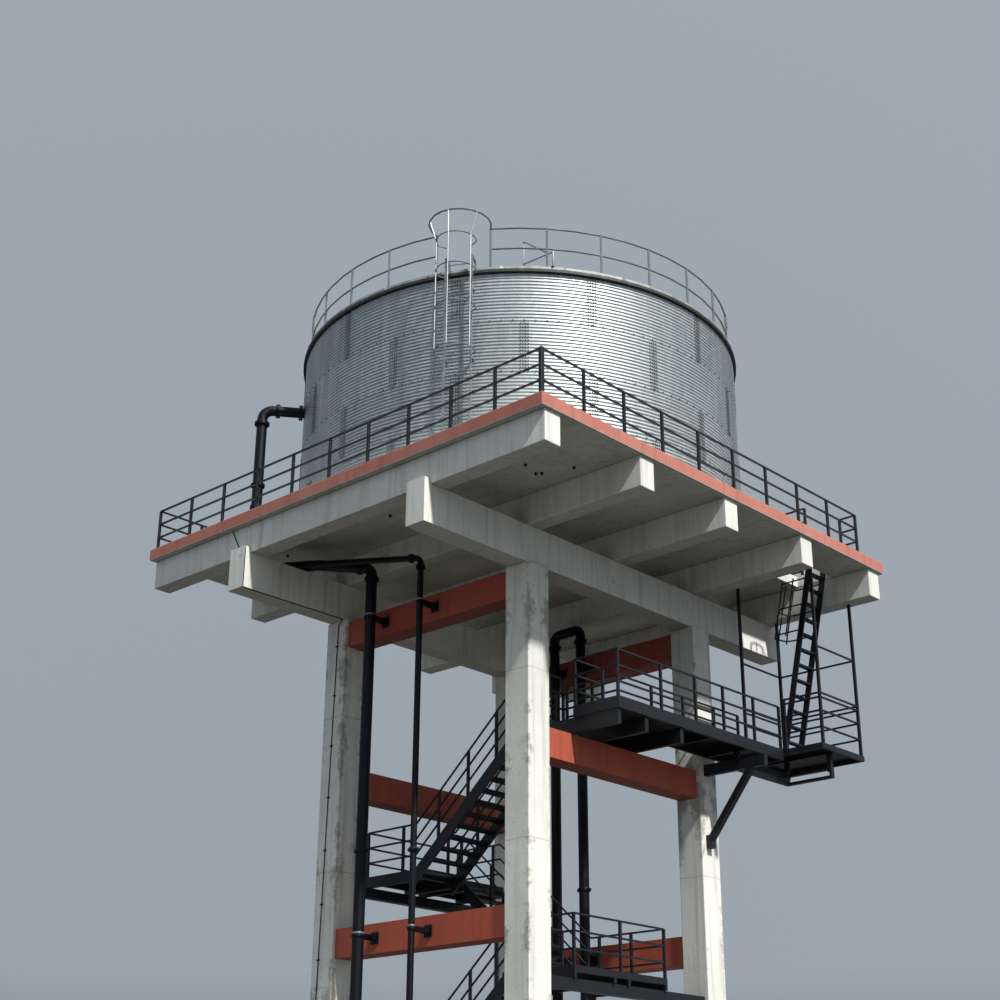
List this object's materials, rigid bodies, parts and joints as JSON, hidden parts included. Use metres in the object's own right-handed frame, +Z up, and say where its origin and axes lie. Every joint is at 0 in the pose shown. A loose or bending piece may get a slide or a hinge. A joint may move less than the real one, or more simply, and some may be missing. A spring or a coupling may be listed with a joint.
{
  "type": "elevated water tank",
  "caption": "Round corrugated steel water tank on a square concrete stand, with a steel stair, a side walkway and a hung landing with a ladder up to the deck",
  "frame": {"origin": "on the ground, midway between the four columns", "axes": "+Z up, -Y the front with the two pipe risers, +X the right side where the walkway stands out"},
  "size_m": [10, 10, 17.6],
  "materials": {
    "concrete": "cast concrete, rain streaked",
    "red_painted_concrete": "faded red paint over concrete",
    "corrugated_zinc": "galvanised corrugated sheet",
    "pale_zinc": "galvanised tube",
    "black_steel": "blue-black satin paint",
    "black_pipe": "black satin paint"
  },
  "bodies": {
    "root": {"column_front_left": "concrete", "column_back_left": "concrete", "column_front_right": "concrete", "column_back_right": "concrete", "tie_middle_front": "red_painted_concrete", "tie_middle_back": "red_painted_concrete", "tie_top_front": "red_painted_concrete", "tie_top_back": "red_painted_concrete", "tie_lower_left": "red_painted_concrete", "tie_lower_right": "red_painted_concrete", "tie_upper_left": "red_painted_concrete", "tie_upper_right": "red_painted_concrete", "main_beam_left": "concrete", "main_beam_right": "concrete", "joist_1": "concrete", "joist_2": "concrete", "joist_3": "concrete", "joist_4": "concrete", "joist_5": "concrete", "deck_slab": "concrete", "tank_wall_1": "corrugated_zinc", "tank_wall_2": "corrugated_zinc", "tank_wall_3": "corrugated_zinc", "tank_wall_4": "corrugated_zinc", "tank_floor": "corrugated_zinc", "tank_roof": "corrugated_zinc", "tank_rail_right": "pale_zinc", "tank_rail_left": "pale_zinc", "tank_ladder": "pale_zinc", "tank_ladder_cage": "pale_zinc", "deck_rail_front": "black_steel", "deck_rail_left": "black_steel", "deck_rail_back": "black_steel", "deck_rail_right": "black_steel", "hatch_guard": "black_steel", "stair_flight_1": "black_steel", "stair_flight_2": "black_steel", "stair_flight_3": "black_steel", "stair_flight_4": "black_steel", "landing_low": "black_steel", "landing_middle": "black_steel", "landing_high": "black_steel", "stair_rail_upper": "black_steel", "stair_rail_middle": "black_steel", "stair_rail_lower": "black_steel", "stair_rail_inner_low": "black_steel", "stair_rail_inner_high": "black_steel", "walkway": "black_steel", "walkway_rail_outer": "black_steel", "walkway_rail_inner": "black_steel", "ladder_platform": "black_steel", "platform_guard_left": "black_steel", "platform_guard_right": "black_steel", "ship_ladder": "black_steel", "ship_ladder_cage": "black_steel", "outlet_pipe": "black_pipe", "pipe_main": "black_pipe", "pipe_branch": "black_pipe", "pipe_loop": "black_pipe"}
  },
  "joints": []
}
